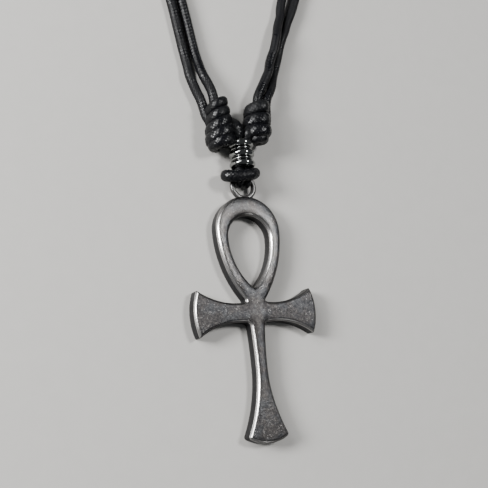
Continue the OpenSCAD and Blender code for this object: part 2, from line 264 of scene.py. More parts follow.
def plan_tree(points):
    """A search tree of points in plan."""
    tree = KDTree(len(points))
    for i, p in enumerate(points):
        tree.insert((p[0], p[1], 0), i)
    tree.balance()
    return tree


def plan_distances(tree, points):
    """How far each point lies in plan from the nearest point of the tree."""
    return np.array([tree.find((p[0], p[1], 0))[2] for p in points])


def spline(rows, steps=24, closed=False):
    """The smooth curve through the rows that the solids follow too."""
    rows = np.array(rows, float)
    count = len(rows)
    out = []
    for i in range(count if closed else count - 1):
        picks = [i - 1, i, i + 1, i + 2]
        picks = [p % count for p in picks] if closed else [min(max(p, 0), count - 1) for p in picks]
        a, b, c, d = rows[picks]
        t = np.linspace(0, 1, steps, endpoint=False)[:, None]
        out.append((2 * b + (c - a) * t + (2 * a - 5 * b + 4 * c - d) * t ** 2
                    + (3 * b - a - 3 * c + d) * t ** 3) / 2)
    out.append(rows[:1] if closed else rows[-1:])
    return np.concatenate(out)


def even(rows, count):
    """The rows spread evenly along their line."""
    run = np.concatenate([[0], np.cumsum(np.linalg.norm(np.diff(rows[:, :3], axis=0), axis=1))])
    at = np.linspace(0, run[-1], count)
    return np.stack([np.interp(at, run, rows[:, k]) for k in range(rows.shape[1])], 1)


def length(rows):
    return np.linalg.norm(np.diff(rows[:, :3], axis=0), axis=1).sum()


def braid_height(row, col):
    """Height of the braid, from 0 to 1: carriers wind both ways round and pass over and under each other."""
    a, b = (col - row) / CELL_STEPS, (col + row) / CELL_STEPS
    over = (np.floor(a) + np.floor(b)) % 2 == 0
    fa, fb = a - np.floor(a), b - np.floor(b)
    across, by = np.where(over, fa, fb), np.where(over, fb, fa)
    return np.sin(np.pi * across) ** 0.7 * (0.55 + 0.45 * np.sin(np.pi * by))


def cord_tube(name, rows, hint, closed=False, press=1.0):
    """A braided tube along rows of x, y, z, half width and half thickness, in millimetres.

    Press under 1 flattens the sides, as of turns that lie tight against each other."""
    sizes = bpy.context.scene.cord_sizes
    step = sizes.braid_pitch / MM / TUBE_SIDES
    rings = CELL_STEPS * max(3, round(length(rows) / step / CELL_STEPS)) + 1
    rows = even(rows, rings)
    place = rows[:, :3]
    if closed:
        heading = unit(np.roll(place[:-1], -1, 0) - np.roll(place[:-1], 1, 0))
        heading = np.concatenate([heading, heading[:1]])
    else:
        heading = unit(np.gradient(place, axis=0))
    hint = np.broadcast_to(np.array(hint, float), place.shape)
    across = unit(hint - (hint * heading).sum(1)[:, None] * heading)
    depth = np.cross(heading, across)
    halves = rows[:, 3:5].copy()
    if not closed:
        end = np.minimum(np.arange(rings), np.arange(rings)[::-1]) / CELL_STEPS
        halves *= np.sqrt(1 - (1 - np.minimum(end, 1)) ** 2)[:, None]
    row, col = np.meshgrid(np.arange(rings), np.arange(TUBE_SIDES + 1), indexing="ij")
    angle = 2 * np.pi * (col % TUBE_SIDES) / TUBE_SIDES
    swell = 1 - sizes.relief * (1 - braid_height(row, col))
    wide, deep = (np.sign(v) * np.abs(v) ** press for v in (np.cos(angle), np.sin(angle)))
    points = (place[:, None] + (halves[:, :1] * swell * wide)[..., None] * across[:, None]
              + (halves[:, 1:] * swell * deep)[..., None] * depth[:, None])
    obj = lattice(name, points)
    uv = obj.data.uv_layers.active
    uv.name = "UVMap"
    flat = np.empty(len(uv.data) * 2, np.float32)
    uv.data.foreach_get("uv", flat)
    flat[1::2] *= (rings - 1) / TUBE_SIDES
    uv.data.foreach_set("uv", flat)
    weld(obj)
    activate(obj)
    bpy.ops.object.shade_smooth()
    return obj


def neck_path(offset):
    """Points of one neck strand: offset is 1 for the outer strand and -1 for the inner."""
    rows = np.array(NECK_ROWS)
    place = rows[:, :3]
    last = len(rows) - 1
    ahead = place[np.minimum(np.arange(last + 1) + 1, last)] - place[np.maximum(np.arange(last + 1) - 1, 0)]
    out = unit(np.stack([ahead[:, 1], -ahead[:, 0], 0 * ahead[:, 0]], 1))
    lift = rows[:, 4:] * np.array([0, 0, 1]) * (offset < 0)
    return place + offset * rows[:, 3:4] * out + lift


def knot_axes(side):
    """A knot's directions: along its axis, outwards and to the front."""
    along, across = math.cos(KNOT_LEAN), math.sin(KNOT_LEAN)
    return np.array([side * across, along, 0]), np.array([side * along, -across, 0]), np.array([0, 0, 1.0])


def knot_point(name, up):
    """The point of a knot's axis at a height over its lower end."""
    side, foot, _ = KNOTS[name]
    return np.array(foot) + up * knot_axes(side)[0]


def with_radius(points, radius):
    points = np.array(points, float)
    return np.concatenate([points, np.full((len(points), 2), radius)], 1)


class PENDANT_OT_neck_strands(bpy.types.Operator):
    """Models the two braided strands that run round the neck from knot to knot"""
    bl_idname = "pendant.neck_strands"
    bl_label = "Neck strands"

    def execute(self, context):
        radius = context.scene.cord_sizes.diameter / MM / 2
        cord = waxed_cord()
        for offset, name in ((-1, "neck_strand_inner"), (1, "neck_strand_outer")):
            ends = [self.end(knot, offset) for knot in ("right_knot", "left_knot")]
            middle = spline(neck_path(offset))
            rows = np.concatenate([ends[0], middle, ends[1][::-1]])
            rows = spline(even(with_radius(rows, radius), NECK_POINTS), steps=4)
            obj = cord_tube(name + "_braid", rows, (0, 0, 1))
            finish_piece(obj, cord, "waxed_cord", name)
        return {"FINISHED"}

    def end(self, knot, offset):
        """The strand's end at a knot, from its tip upwards: the inner strand fills the knot's core."""
        if offset > 0:
            return [np.array(row) for row in BESIDE_ROWS[knot]]
        return [knot_point(knot, up) for up in (KNOT_PITCH + TIP_GAP, KNOTS[knot][2] + CORE_RISE)]


class PENDANT_OT_knots(bpy.types.Operator):
    """Models the wraps of the two sliding knots"""
    bl_idname = "pendant.knots"
    bl_label = "Sliding knots"

    def execute(self, context):
        self.radius = context.scene.cord_sizes.diameter / MM / 2
        for name in KNOTS:
            hint = knot_axes(KNOTS[name][0])[0]
            obj = cord_tube(name + "_wraps", self.wraps(name), hint, press=WRAP_PRESS)
            finish_piece(obj, waxed_cord(), "waxed_cord", name)
        return {"FINISHED"}

    def wraps(self, name):
        """The line of the wraps, whose two ends are tucked in at the back."""
        side, foot, _ = KNOTS[name]
        axis, out, front = knot_axes(side)
        right = out * side
        table = np.array(WRAPS[name])
        last = len(table) - 1
        turn = np.linspace(-0.5, last + 0.5, TURN_POINTS * len(table))
        up, shift, sink, outer, inner, half, thick, slant = (
            np.interp(turn, np.arange(last + 1), column) for column in table.T)
        # Past the first and the last turn the wraps go on along the axis
        up += np.minimum(turn, 0) * (table[1, 0] - table[0, 0]) * FIRST_RISE
        up += np.maximum(turn - last, 0) * KNOT_PITCH
        angle = 2 * math.pi * turn
        tuck = 1 - TUCK_SHARE * ramp(np.abs(turn - last / 2) - last / 2, TUCK_TURN, TUCK_TURN)
        share = 0.5 + 0.5 * side * np.sin(angle)
        reach = (outer * share + inner * (1 - share)) * tuck
        deep = np.minimum(2 * self.radius * tuck, np.maximum(outer, inner) + DEPTH_EXTRA)
        along = up + np.tan(slant) * reach * np.sin(angle)
        aside = shift * side + reach * np.sin(angle)
        points = (np.array(foot) + along[:, None] * axis + aside[:, None] * right
                  + (deep * np.cos(angle) - sink)[:, None] * front)
        points[:, 2] = np.maximum(points[:, 2], thick + FLOOR_GAP)
        rows = np.concatenate([points, half[:, None], thick[:, None]], 1)
        return spline(even(rows, WRAP_POINTS), steps=4)


class PENDANT_OT_pendant_cord(bpy.types.Operator):
    """Models the two strands that carry the pendant and the stop turn round them"""
    bl_idname = "pendant.pendant_cord"
    bl_label = "Pendant cord"

    def execute(self, context):
        pieces = []
        for side in (1, -1):
            low = np.array(STRAND_ROWS) * (side, 1, 1, 1, 1)
            rows = spline(np.concatenate([RISE_ROWS[side], low]))
            pieces.append(cord_tube("strand", rows, (1, 0, 0)))
        pieces.append(cord_tube("turn", spline(TURN_ROWS, closed=True), (0, 1, 0), closed=True))
        obj = join(pieces, "pendant_cord_braid")
        finish_piece(obj, waxed_cord(), "waxed_cord", "pendant_cord")
        return {"FINISHED"}


class PENDANT_OT_rings(bpy.types.Operator):
    """Models the stack of large and thin metal rings"""
    bl_idname = "pendant.rings"
    bl_label = "Metal rings"

    def execute(self, context):
        metal = dark_chrome()
        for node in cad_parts:
            if "_ring_" in node:
                obj = self.ring(context, node)
                finish_piece(obj, metal, "dark_chrome", node)
        return {"FINISHED"}

    def ring(self, context, node):
        low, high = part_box(node)
        low, high = np.array(low) / MM, np.array(high) / MM
        centre = (low + high) / 2
        radius, rim = (high[0] - low[0]) / 2, (high[1] - low[1]) / 2
        hole = context.scene.ring_sizes.hole / MM / 2
        bend = np.linspace(-math.pi / 2, math.pi / 2, RIM_POINTS)
        profile = [(radius - rim + rim * math.cos(t), rim * math.sin(t)) for t in bend]
        cut = RING_LIP * LIP_CUT
        profile += [(hole + RING_LIP, rim), (hole + cut, rim - cut), (hole, rim - RING_LIP)]
        profile += [(r, -y) for r, y in profile[:-4:-1]]
        profile = np.array(profile + profile[:1])
        sides = context.scene.ring_sizes.sides
        turn = 2 * math.pi * (np.arange(sides + 1) % sides) / sides
        points = np.stack([
            centre[0] + profile[:, :1] * np.cos(turn),
            centre[1] + np.repeat(profile[:, 1:], sides + 1, 1),
            centre[2] + profile[:, :1] * np.sin(turn)], 2)
        obj = lattice(node + "_polished", points)
        weld(obj)
        bpy.ops.object.shade_smooth_by_angle(angle=RING_ANGLE)
        return obj


# Circles of the outline: centre x, centre y, radius
FOOT_END = (0, -15.85, 7.3)
FOOT_FLARE = (28.17, -9.9, 27)
STEM_TAPER = (100.17, -9.9, 99)
ARM_BELOW = (3.8, -14.24, 12.5)
ARM_END = (0.65, 0, 11.6)
ARM_ABOVE = (3.8, 14.24, 12.5)
LOOP_SIDE = (-14.5, 15.3, 21)
LOOP_TOP = (0, 15.3, 6.5)
OPENING_SIDE = (-8.65, 13.9, 12.8)
OPENING_TOP = (0, 13.9, 4.15)
# Where circles touch without a corner, and the lowest and the highest points of the outlines
FOOT_LOW, STEM_WAIST = (0, -23.15), (1.17, -9.9)
LOOP_FLANK, LOOP_HIGH = (6.5, 15.3), (0, 21.8)
OPENING_FLANK, OPENING_HIGH = (4.15, 13.9), (0, 18.05)
# Distance between points of an outline, points of an arc for each of them, and points of a corner
OUTLINE_STEP, ARC_POINTS, CORNER_POINTS = 0.13, 3, 17
# Share of an inset by which its points have to stay clear of the whole line
CLEAR_SHARE = 0.985


def meet(one, two, near):
    """The crossing of two circles that lies nearest to a rough point."""
    a, b = np.array(one[:2], float), np.array(two[:2], float)
    gap = np.linalg.norm(b - a)
    along = (gap ** 2 + one[2] ** 2 - two[2] ** 2) / (2 * gap)
    rise = math.sqrt(max(one[2] ** 2 - along ** 2, 0))
    axis = (b - a) / gap
    square = np.array([-axis[1], axis[0]])
    picks = [a + along * axis + s * rise * square for s in (1, -1)]
    return min(picks, key=lambda p: np.linalg.norm(p - np.array(near)))


def arc_points(circle, start, end):
    centre, radius = np.array(circle[:2], float), circle[2]
    a = math.atan2(start[1] - centre[1], start[0] - centre[0])
    b = math.atan2(end[1] - centre[1], end[0] - centre[0])
    b = a + (b - a + math.pi) % (2 * math.pi) - math.pi
    count = max(2, round(abs(b - a) * radius / OUTLINE_STEP * ARC_POINTS))
    t = np.linspace(a, b, count)
    return centre + radius * np.stack([np.cos(t), np.sin(t)], 1)


def half_outline(start, legs):
    """Points along the legs, each a circle and its end, and how far back each corner is rounded."""
    points, corners = [np.array([start], float)], []
    here = np.array(start, float)
    for circle, end, reach in legs:
        points.append(arc_points(circle, here, end)[1:])
        here = np.array(end, float)
        corners.append((here, reach))
    return np.concatenate(points), corners[:-1]


def round_corner(points, corner, reach):
    """The closed line with one corner rounded by a curve that begins and ends reach away from it."""
    k = int(np.argmin(np.linalg.norm(points - corner, axis=1)))
    points = np.roll(points, len(points) // 2 - k, axis=0)
    mid = len(points) // 2
    away = np.linalg.norm(points - points[mid], axis=1)
    low = max(i for i in range(mid) if away[i] > reach)
    high = min(i for i in range(mid, len(points)) if away[i] > reach)
    t = np.linspace(0, 1, CORNER_POINTS)[1:-1, None]
    bend = (1 - t) ** 2 * points[low] + 2 * t * (1 - t) * points[mid] + t ** 2 * points[high]
    return np.concatenate([points[:low + 1], bend, points[high:]])


def closed_outline(start, legs, last_reach=0):
    half, corners = half_outline(start, legs)
    mirror = half[-2:0:-1] * [-1, 1]
    line = np.concatenate([half, mirror])
    for corner, reach in corners:
        if reach:
            line = round_corner(line, corner, reach)
            line = round_corner(line, corner * [-1, 1], reach)
    if last_reach:
        line = round_corner(line, np.array(start), last_reach)
    line = np.concatenate([line, line[:1]])
    rows = np.concatenate([line, np.zeros((len(line), 1))], 1)
    return even(rows, round(length(rows) / OUTLINE_STEP))[:-1, :2]


def ankh_outline():
    foot = meet(FOOT_END, FOOT_FLARE, (4, -22))
    stem_corner = meet(STEM_TAPER, ARM_BELOW, (1.4, -2))
    lower = meet(ARM_BELOW, ARM_END, (11.5, -4.5))
    fork = meet(ARM_ABOVE, LOOP_SIDE, (1.7, 2))
    return closed_outline(FOOT_LOW, (
        (FOOT_END, foot, 0.5), (FOOT_FLARE, STEM_WAIST, 0), (STEM_TAPER, stem_corner, 0.55),
        (ARM_BELOW, lower, 0.35), (ARM_END, lower * [1, -1], 0.35), (ARM_ABOVE, fork, 0.9),
        (LOOP_SIDE, LOOP_FLANK, 0), (LOOP_TOP, LOOP_HIGH, 0)))


def opening_outline():
    x, y, radius = OPENING_SIDE
    tip = y - math.sqrt(radius ** 2 - x ** 2)
    return closed_outline((0, tip), (
        (OPENING_SIDE, OPENING_FLANK, 0), (OPENING_TOP, OPENING_HIGH, 0)), last_reach=0.35)


def inset(line, amount, turn):
    """The closed line moved to its left (turn 1) or right (-1), drawn together where it would fold over."""
    if amount == 0:
        return line
    ahead = unit(np.roll(line, -1, 0) - np.roll(line, 1, 0))
    normal = np.stack([-ahead[:, 1], ahead[:, 0]], 1) * turn
    moved = line + normal * amount
    good = plan_distances(plan_tree(line), moved) >= CLEAR_SHARE * amount
    index = np.arange(len(line))
    valid = index[good]
    for i in index[~good]:
        gap = np.abs(valid - i)
        gap = np.minimum(gap, len(line) - gap)
        moved[i] = moved[valid[int(np.argmin(gap))]]
    return moved


# The edge from the back face to the front: inset and height over the back face
EDGE_ROWS = (
    (0.22, 0.0), (0.10, 0.02), (0.03, 0.08), (0.0, 0.17), (0.0, 0.35), (0.0, 1.2), (0.0, 2.20), (0.0, 2.36),
    (0.01, 2.41), (0.04, 2.46), (0.08, 2.51), (0.13, 2.56), (0.18, 2.61), (0.23, 2.66), (0.28, 2.705),
    (0.33, 2.74), (0.38, 2.765), (0.44, 2.785), (0.50, 2.796), (0.56, 2.80))
# Size of the front's small faces, where their grid begins, and the largest angle that is taken for flat
GRID_STEP, GRID_START, FLAT_ANGLE = 0.4, 0.13, math.radians(0.1)
# Radius of the eyelet to the middle of its wire, and its height over the back face
EYELET_RADIUS, EYELET_HEIGHT = 2.15, 1.7
# Width of the border in which the face falls to its edges
DOME_WIDTH = 1.7
# Height over the back face and width of the bevel's two lines of polish with painted highlight, of the
# painted dark band between them and of the painted highlight line at the back edge
UPPER_HIGHLIGHT_LINE, LOWER_HIGHLIGHT_LINE = (2.725, 0.045), (2.45, 0.04)
SHADE_BAND, BACK_HIGHLIGHT_LINE = (2.59, 0.06), (0.17, 0.1)
# Directions of the sides whose edges get the most painted highlight, as they face the side light, and whose
# slopes are painted lighter with less patina, as light falls on them from above left
HIGHLIGHT_SIDE, LIT_SLOPE_SIDE = (-0.97, -0.24), (-0.6, 0.8)
WEAR_AND_LIGHT_LAYERS = ("edge", "patina", "rub", "gloss")


class PENDANT_OT_ankh(bpy.types.Operator):
    """Models the cast ankh with its rounded edges, crowned face and eyelet"""
    bl_idname = "pendant.ankh"
    bl_label = "Ankh"

    def execute(self, context):
        sizes = context.scene.ankh_sizes
        wire, crown = sizes.wire / MM / 2, sizes.crown / MM
        outer, hole = ankh_outline(), opening_outline()
        walls = [self.wall("outer_wall", outer, 1), self.wall("inner_wall", hole, -1)]
        body = join(walls, "ankh_cast")
        self.close_faces(body)
        tree = plan_tree(np.concatenate([outer, hole]))
        self.crown(body, tree, crown)
        self.add_eyelet(body, wire)
        self.mark_wear_and_light(body, tree, wire, crown)
        activate(body)
        bpy.ops.object.shade_smooth_by_angle(angle=ANKH_ANGLE)
        finish_piece(body, antique_metal(), "antique_metal", "ankh")
        return {"FINISHED"}

    def wall(self, name, line, metal):
        """The side wall and rounded edges of an outline that has the metal inside (1) or outside (-1)."""
        area = 0.5 * np.sum(line[:, 0] * np.roll(line[:, 1], -1) - np.roll(line[:, 0], -1) * line[:, 1])
        turn = metal if area > 0 else -metal
        rows = []
        for amount, z in EDGE_ROWS:
            ring = inset(line, amount, turn)
            ring = np.concatenate([ring, ring[:1]])
            rows.append(np.concatenate([ring, np.full((len(ring), 1), z)], 1))
        obj = lattice(name, np.array(rows))
        weld(obj)
        return obj

    def close_faces(self, body):
        """Fills the front and back between the walls and cuts the front into small faces."""
        activate(body)
        bpy.ops.object.mode_set(mode="EDIT")
        mesh = bmesh.from_edit_mesh(body.data)
        top = EDGE_ROWS[-1][1] * MM
        for level in (0.0, top):
            bpy.ops.mesh.select_all(action="DESELECT")
            for edge in mesh.edges:
                if edge.is_boundary and all(abs(v.co.z - level) < WELD for v in edge.verts):
                    edge.select = True
            bpy.ops.mesh.fill(use_beauty=True)
        mesh = bmesh.from_edit_mesh(body.data)
        bpy.ops.mesh.select_all(action="DESELECT")
        for face in mesh.faces:
            face.select = all(abs(v.co.z - top) < WELD for v in face.verts)
        bpy.ops.mesh.dissolve_limited(angle_limit=FLAT_ANGLE)
        bpy.ops.mesh.hide(unselected=True)
        (x0, y0, _), (x1, y1, _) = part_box("ankh")
        for axis, low, high in ((0, x0, x1), (1, y0, y1)):
            normal = [0, 0, 0]
            normal[axis] = 1
            for k in range(1, int((high - low) / (GRID_STEP * MM))):
                at = [0, 0, 0]
                at[axis] = low + k * GRID_STEP * MM + GRID_START * MM
                bpy.ops.mesh.select_all(action="SELECT")
                bpy.ops.mesh.bisect(plane_co=at, plane_no=normal)
        bpy.ops.mesh.reveal(select=False)
        bpy.ops.mesh.select_all(action="SELECT")
        bpy.ops.mesh.normals_make_consistent(inside=False)
        bpy.ops.mesh.select_all(action="DESELECT")
        bpy.ops.object.mode_set(mode="OBJECT")

    def flatness(self, x, y):
        """1 on the loop and the stem, whose faces are crowned, and less on the arms and the foot."""
        arm = ramp(np.abs(x), 1.2, 1.5) * ramp(np.abs(y), 4.5, -2.0)
        foot = ramp(y, -13, -6)
        return 1 - 0.75 * np.maximum(arm, foot)

    def fall(self, at, away, crown):
        """How far the domed face lies under the flat plate's height."""
        return crown * self.flatness(at[:, 0], at[:, 1]) * (1 - ramp(away, 0, DOME_WIDTH)) ** 2

    def crown(self, body, tree, crown):
        """Lowers the face towards its edges, and the upper part of the walls with it."""
        at = coords(body.data) / MM
        at[:, 2] -= self.fall(at, plan_distances(tree, at), crown) * ramp(at[:, 2], 1.0, 1.3)
        body.data.vertices.foreach_set("co", (at * MM).astype(np.float32).ravel())
        body.data.update()

    def add_eyelet(self, body, wire):
        """Joins the eyelet's ring of wire to the top of the loop."""
        (_, _, _), (_, top, _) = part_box("ankh")
        self.ring_y = top / MM - wire - EYELET_RADIUS
        deselect()
        bpy.ops.mesh.primitive_torus_add(
            major_radius=EYELET_RADIUS * MM, minor_radius=wire * MM, major_segments=96, minor_segments=24,
            location=(0, self.ring_y * MM, EYELET_HEIGHT * MM))
        eyelet = bpy.context.object
        bpy.ops.object.transform_apply(location=True, rotation=True, scale=True)
        union = body.modifiers.new("Weld", "BOOLEAN")
        union.operation, union.object, union.solver = "UNION", eyelet, "EXACT"
        activate(body)
        bpy.ops.object.modifier_apply(modifier=union.name)
        bpy.data.objects.remove(eyelet)

    def mark_wear_and_light(self, body, tree, wire, crown):
        """Stores where the plating is polished and painted with highlights, where the dark patina and painted
        shade lie, and how rubbed and painted with sheen the face is.
        """
        at = coords(body.data) / MM
        away = plan_distances(tree, at)
        x, y, z = at.T
        level = z + self.fall(at, away, crown) * ramp(z, 0.9, 1.2)
        from_wire = np.hypot(np.hypot(x, y - self.ring_y) - EYELET_RADIUS, z - EYELET_HEIGHT) - wire
        on_wire = np.abs(from_wire) < 0.02
        normal = np.array([v.normal[:2] for v in body.data.vertices])
        slope = np.linalg.norm(normal, axis=1)
        # Painted highlight: the polish lines are made bright on edges that face the low side light on the
        # left and faint on the others
        facing = normal @ np.array(HIGHLIGHT_SIDE) / np.maximum(slope, 0.05)
        lit_facing = np.clip(facing * 1.4, 0.10, 1)
        upper = band(level, *UPPER_HIGHLIGHT_LINE) * ramp(away, 0.50, -0.10)
        lower = 0.55 * band(level, *LOWER_HIGHLIGHT_LINE) + 0.2 * band(level, *BACK_HIGHLIGHT_LINE)
        bevel_highlight = 0.16 * lit_facing * (level > 2.42) * ramp(away, 0.4, -0.1)
        edge = np.maximum(upper, lower) * lit_facing + bevel_highlight
        # Painted shade: a dark band between the two highlight lines, on edges that face the side light
        shade_band = 0.5 * lit_facing * band(level, *SHADE_BAND) * (away < 0.45)
        # Painted light: slopes that face up and to the left keep less patina and look lighter
        lit_slope = np.clip(normal @ np.array(LIT_SLOPE_SIDE), 0, 1)
        patina = np.maximum((1 - ramp(level, 2.34, 0.12)) * (1 - 0.35 * lit_slope), shade_band)
        patina[z < 0.02] = 0
        loop = ramp(y, 2.5, 4)
        rub = 0.25 + 0.50 * loop + 0.3 * (1 - loop) * ramp(np.abs(x), 1.6, -0.6)
        # Painted sheen: the domed loop is made lighter on the slopes that face left, towards the side light,
        # and darker on the others
        rub += loop * np.clip(-normal[:, 0] * 1.6 - normal[:, 1] * 0.3, -0.55, 0.45) * (slope < 0.6)
        gloss = np.maximum(edge, 0.3 * loop)
        edge[on_wire], patina[on_wire], rub[on_wire], gloss[on_wire] = 0.10, 0.45, 0.2, 1
        for label, values in zip(WEAR_AND_LIGHT_LAYERS, (edge, patina, rub, gloss)):
            layer = body.data.attributes.new(label, "FLOAT", "POINT")
            layer.data.foreach_set("value", np.clip(values, 0, 1).astype(np.float32))


class Net:
    """Small helper that adds nodes to a shader tree and links them."""

    def __init__(self, tree):
        self.tree = tree

    def add(self, kind, values=(), **settings):
        node = self.tree.nodes.new(kind)
        for key, value in settings.items():
            setattr(node, key, value)
        for key, value in dict(values).items():
            self.put(value, node.inputs[key])
        return node

    def put(self, value, socket):
        if isinstance(value, bpy.types.NodeSocket):
            self.tree.links.new(value, socket)
        else:
            socket.default_value = value

    def math(self, operation, a, b=0.0, clamp=False):
        return self.add("ShaderNodeMath", {0: a, 1: b}, operation=operation, use_clamp=clamp).outputs[0]

    def span(self, value, low, high, to_low=0.0, to_high=1.0):
        return self.add("ShaderNodeMapRange", {0: value, 1: low, 2: high, 3: to_low, 4: to_high}).outputs[0]

    def mix(self, share, a, b):
        node = self.add("ShaderNodeMix", data_type="RGBA")
        self.put(share, node.inputs[0])
        self.put(a, node.inputs[6])
        self.put(b, node.inputs[7])
        return node.outputs[2]

    def noise(self, vector, scale, roughness):
        values = {"Vector": vector, "Scale": scale, "Detail": 3.0, "Roughness": roughness}
        return self.add("ShaderNodeTexNoise", values).outputs[0]

    def either(self, switch, a, b):
        """The value a where the switch is 0, and b where it is 1."""
        first = self.math("MULTIPLY", a, self.math("SUBTRACT", 1.0, switch))
        return self.math("ADD", first, self.math("MULTIPLY", b, switch))

    def give(self, *values):
        """Ends a node group with its output values."""
        for value, socket in zip(values, self.add("NodeGroupOutput").inputs):
            self.put(value, socket)


def colour(value):
    return (value[0], value[1], value[2], 1.0)


def node_group(name, inputs, outputs):
    tree = bpy.data.node_groups.new(name, "ShaderNodeTree")
    for label, kind, default in inputs:
        socket = tree.interface.new_socket(name=label, in_out="INPUT", socket_type=kind)
        socket.default_value = default
    for label in outputs:
        tree.interface.new_socket(name=label, in_out="OUTPUT", socket_type="NodeSocketFloat")
    return tree, Net(tree)


# Scale of the blotches as a share of the grains', and the share of the grains in the mask
BLOTCH_SCALE, GRAIN_SHARE = 0.17, 0.72
# Fibres side by side in each carrier of the braid, and how high they stand
FIBRES, FIBRE_HEIGHT = 5, 0.06


def speckle_group():
    """Grains and soft blotches of a chosen size, for metal, wax and the floor."""
    if "Speckle" in bpy.data.node_groups:
        return bpy.data.node_groups["Speckle"]
    tree, net = node_group("Speckle", (
        ("Vector", "NodeSocketVector", (0, 0, 0)), ("Grains per metre", "NodeSocketFloat", 3000.0),
        ("Low", "NodeSocketFloat", 0.35), ("High", "NodeSocketFloat", 0.65)), ("Mask", "Blotch"))
    source = net.add("NodeGroupInput").outputs
    fine = net.noise(source[0], source[1], 0.7)
    wide = net.noise(source[0], net.math("MULTIPLY", source[1], BLOTCH_SCALE), 0.6)
    grains, blotches = net.math("MULTIPLY", fine, GRAIN_SHARE), net.math("MULTIPLY", wide, 1 - GRAIN_SHARE)
    both = net.math("ADD", grains, blotches)
    mask = net.add("ShaderNodeMapRange", {0: both, 1: source[2], 2: source[3]}).outputs[0]
    net.give(mask, wide)
    return tree


def braid_group():
    """Height and mask of the braid and its fibres, from the cord's own UV map."""
    tree, net = node_group("Braid", (("UV", "NodeSocketVector", (0, 0, 0)),), ("Height", "Crown"))
    source = net.add("NodeGroupInput").outputs
    axes = net.add("ShaderNodeSeparateXYZ", {0: source[0]}).outputs
    around, along = net.math("MULTIPLY", axes[0], CARRIERS), net.math("MULTIPLY", axes[1], CARRIERS)
    a, b = net.math("SUBTRACT", around, along), net.math("ADD", around, along)
    parity = net.math("FLOORED_MODULO", net.math("ADD", net.math("FLOOR", a), net.math("FLOOR", b)), 2.0)
    fa, fb = net.math("FRACT", a), net.math("FRACT", b)
    across, by = net.either(parity, fa, fb), net.either(parity, fb, fa)
    hump = net.math("POWER", net.math("SINE", net.math("MULTIPLY", across, math.pi)), 0.6)
    swell = net.math("SINE", net.math("MULTIPLY", by, math.pi))
    crown = net.math("MULTIPLY", hump, net.math("ADD", net.math("MULTIPLY", swell, 0.5), 0.5))
    fibre = net.math("SINE", net.math("MULTIPLY", across, 2 * math.pi * FIBRES))
    height = net.math("ADD", crown, net.math("MULTIPLY", fibre, FIBRE_HEIGHT))
    net.give(height, crown)
    return tree


def new_material(name):
    material = bpy.data.materials.new(name)
    material.use_nodes = True
    net = Net(material.node_tree)
    shader = material.node_tree.nodes["Principled BSDF"]
    return material, net, shader


def speckled(net, vector, per_metre, low, high):
    node = net.add("ShaderNodeGroup", node_tree=speckle_group())
    for socket, value in zip(node.inputs, (vector, per_metre, low, high)):
        net.put(value, socket)
    return node.outputs


def antique_metal():
    finish = bpy.context.scene.finishes
    material, net, shader = new_material("rubbed_pewter")
    place = net.add("ShaderNodeTexCoord").outputs["Object"]
    edge, patina, rub, gloss = (
        net.add("ShaderNodeAttribute", attribute_name=layer).outputs["Fac"] for layer in WEAR_AND_LIGHT_LAYERS)
    grain = speckled(net, place, 2400.0, 0.42, 0.60)
    fine = speckled(net, place, 5200.0, 0.40, 0.62)
    tone = net.math("ADD", net.math("MULTIPLY", grain[0], 0.50), net.math("MULTIPLY", fine[0], 0.22))
    # Rubbed wear, together with the painted sheen of the loop, lightens the face and mixes in the bright
    # colour
    tone = net.math("ADD", net.math("MULTIPLY", tone, net.span(rub, 0.0, 1.0, 0.75, 1.1)),
                    net.math("MULTIPLY", rub, 0.42), clamp=True)
    cool = net.mix(net.span(grain[1], 0.42, 0.58), colour(finish.pewter), colour(finish.cool_pewter))
    face = net.mix(tone, colour(finish.patina), cool)
    face = net.mix(net.span(rub, 0.75, 1.0, 0.0, 0.14), face, colour(finish.bright))
    glint = speckled(net, place, 5600.0, 0.60, 0.66)
    face = net.mix(net.math("MULTIPLY", glint[0], 0.45), face, colour(finish.bright))
    dark = net.mix(patina, face, colour([c * 0.4 for c in finish.patina]))
    # Polished edges with their painted highlights, in the bright colour
    polish_and_highlight = net.math("MULTIPLY", edge, net.span(fine[0], 0.0, 1.0, 0.82, 1.0), clamp=True)
    net.put(net.mix(polish_and_highlight, dark, colour(finish.bright)), shader.inputs["Base Color"])
    rough = net.math("ADD", net.span(tone, 0.0, 1.0, 0.50, 0.36), net.math("MULTIPLY", patina, 0.1))
    net.put(net.math("MULTIPLY", rough, net.span(gloss, 0.0, 1.0, 1.0, 0.45)), shader.inputs["Roughness"])
    net.put(net.math("SUBTRACT", 1.0, net.math("MULTIPLY", patina, 0.8)), shader.inputs["Metallic"])
    shader.inputs["Specular IOR Level"].default_value = 0.15
    even_skin = net.math("MAXIMUM", patina, net.math("MULTIPLY", edge, 1.6))
    pitted = net.math("SUBTRACT", 1.0, even_skin, clamp=True)
    height = net.math("MULTIPLY", net.math("ADD", grain[0], fine[0]), net.span(pitted, 0.0, 1.0, 0.12, 1.0))
    bump = net.add("ShaderNodeBump", {"Strength": 0.4, "Distance": 0.00003, "Height": height})
    net.put(bump.outputs[0], shader.inputs["Normal"])
    return material


def dark_chrome():
    finish = bpy.context.scene.finishes
    material, net, shader = new_material("polished_chrome")
    place = net.add("ShaderNodeTexCoord").outputs["Object"]
    smudge = speckled(net, place, 900.0, 0.35, 0.70)
    base = net.mix(smudge[0], colour(finish.chrome), colour([c * 0.75 for c in finish.chrome]))
    net.put(base, shader.inputs["Base Color"])
    net.put(net.span(smudge[0], 0.0, 1.0, 0.07, 0.16), shader.inputs["Roughness"])
    shader.inputs["Metallic"].default_value = 1.0
    return material


